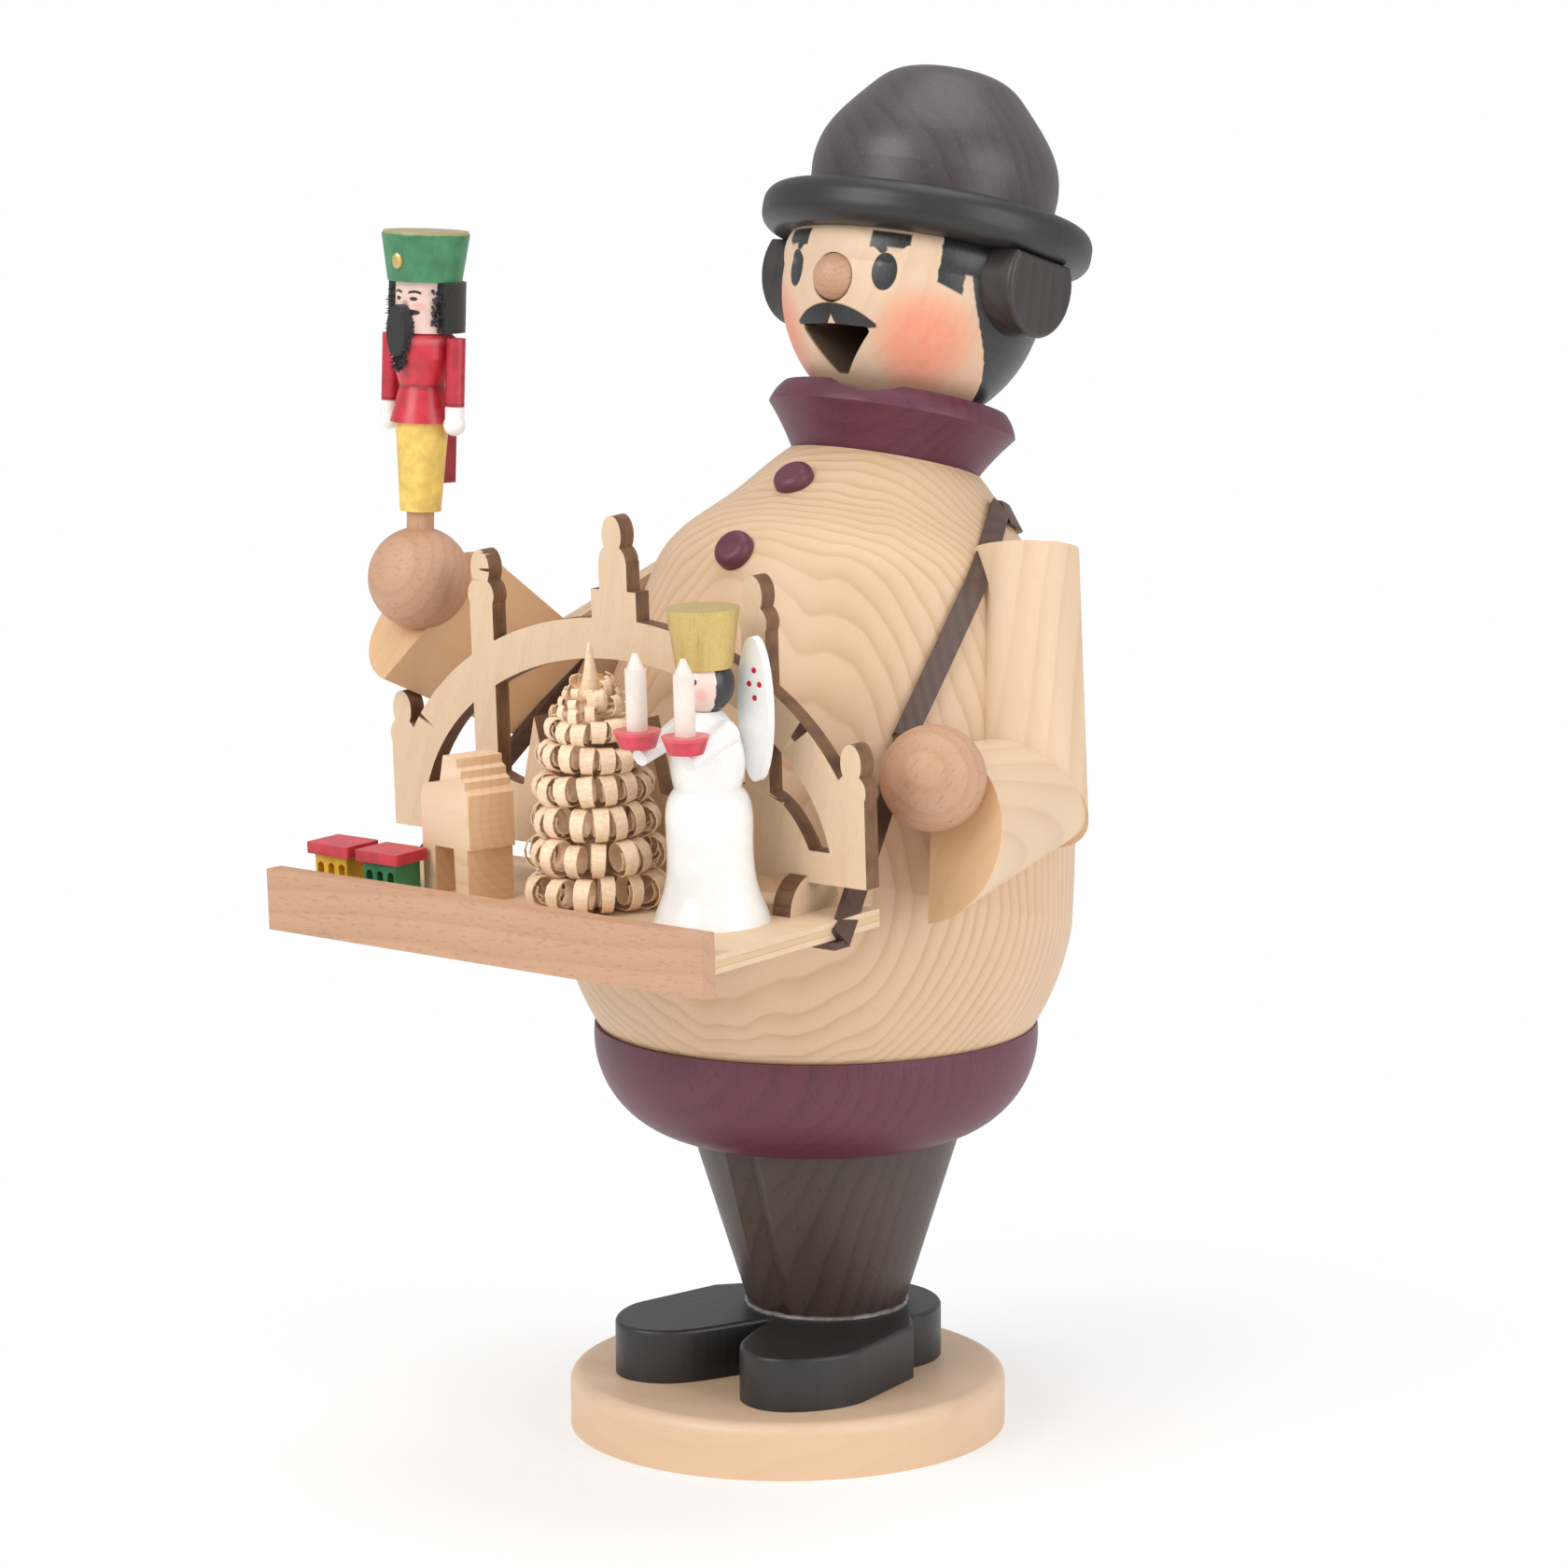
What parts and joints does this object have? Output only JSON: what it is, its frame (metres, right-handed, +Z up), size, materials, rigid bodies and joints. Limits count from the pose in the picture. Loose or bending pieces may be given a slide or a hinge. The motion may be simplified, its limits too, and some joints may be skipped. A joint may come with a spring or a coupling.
{
  "type": "german incense smoker",
  "caption": "Turned wooden pedlar in a hat whose hollow coat lifts off a stand with a burner plate for an incense cone; smoke leaves by the mouth, and a tray of toys hangs in front.",
  "frame": {"origin": "middle of the base disc's underside", "axes": "+Z up; the figure looks along -Y; his left hand is on +X"},
  "size_m": [0.1009, 0.1249, 0.2005],
  "materials": {
    "beech_base": "clear satin turned beech",
    "beech_peg": "plain turned beech",
    "black_shoes": "black satin stain",
    "brown_trousers": "dark brown stain, satin",
    "violet_stain": "maroon-violet stain, satin",
    "pine_coat": "natural pine with growth rings, matt",
    "pine_sleeve": "natural split pine, matt",
    "face_wood": "natural wood with a painted face and hair",
    "beech_ball": "plain turned beech with flecks",
    "black_hat": "black satin stain",
    "grey_crown": "dark violet-grey stain over grain",
    "beech_strip": "plain beech with flecks",
    "plywood": "plain plywood",
    "burnt_ply": "thin plywood with scorched cut edges",
    "toy_yellow": "yellow paint",
    "toy_green": "green paint",
    "toy_red": "red paint",
    "animal_wood": "natural turned wood",
    "shaving": "natural rolled shavings",
    "angel_white": "white lacquer on wood",
    "pale_skin": "pale lacquer on wood with painted features",
    "gold": "gold paint on wood",
    "dish_red": "red lacquer on wood",
    "candle_white": "off-white paint on turned candles",
    "cracker_yellow": "yellow lacquer on wood",
    "cracker_red": "red lacquer on wood",
    "cracker_dark_red": "dark red lacquer on wood",
    "cracker_green": "green lacquer on wood",
    "fur": "black fur",
    "brown_lace": "dark brown stitched lace",
    "plate_metal": "pressed sheet",
    "nail_metal": "plain wire nail"
  },
  "bodies": {
    "stand": {"base_disc": "beech_base", "shoes": "black_shoes", "trousers": "brown_trousers", "leg_dowel": "beech_peg", "coat_hem": "violet_stain", "burner_plate": "plate_metal", "plate_nail": "nail_metal"},
    "figure": {"arm_dowel_left": "beech_peg", "arm_dowel_right": "beech_peg", "nutcracker_peg": "beech_peg", "collar": "violet_stain", "button_upper": "violet_stain", "button_lower": "violet_stain", "coat_body": "pine_coat", "upper_sleeve_left": "pine_sleeve", "upper_sleeve_right": "pine_sleeve", "fore_sleeve_left": "pine_sleeve", "fore_sleeve_right": "pine_sleeve", "head": "face_wood", "nose": "beech_ball", "hand_left": "beech_ball", "hand_right": "beech_ball", "hat_brim": "black_hat", "ear_muff_left": "black_hat", "ear_muff_right": "black_hat", "hat_crown": "grey_crown", "tray_front_strip": "beech_strip", "tray_board": "plywood", "candle_arch": "burnt_ply", "arch_foot_left": "burnt_ply", "arch_foot_right": "burnt_ply", "toy_house_yellow": "toy_yellow", "toy_house_green": "toy_green", "toy_roof_yellow": "toy_red", "toy_roof_green": "toy_red", "ring_turned_animal": "animal_wood", "curl_tree": "shaving", "angel_body": "angel_white", "angel_arms": "angel_white", "angel_wings": "angel_white", "angel_head": "pale_skin", "nutcracker_head": "pale_skin", "angel_crown": "gold", "angel_dishes": "dish_red", "angel_candles": "candle_white", "nutcracker_trousers": "cracker_yellow", "nutcracker_coat": "cracker_red", "nutcracker_arms": "cracker_red", "nutcracker_coat_tail": "cracker_dark_red", "nutcracker_cap": "cracker_green", "nutcracker_hair": "fur", "nutcracker_beard": "fur", "strap": "brown_lace"}
  },
  "joints": [
    {"name": "figure_lift", "type": "slide", "parent": "stand", "child": "figure", "axis": [0, 0, 1], "range_m": [0, 0.06]}
  ]
}
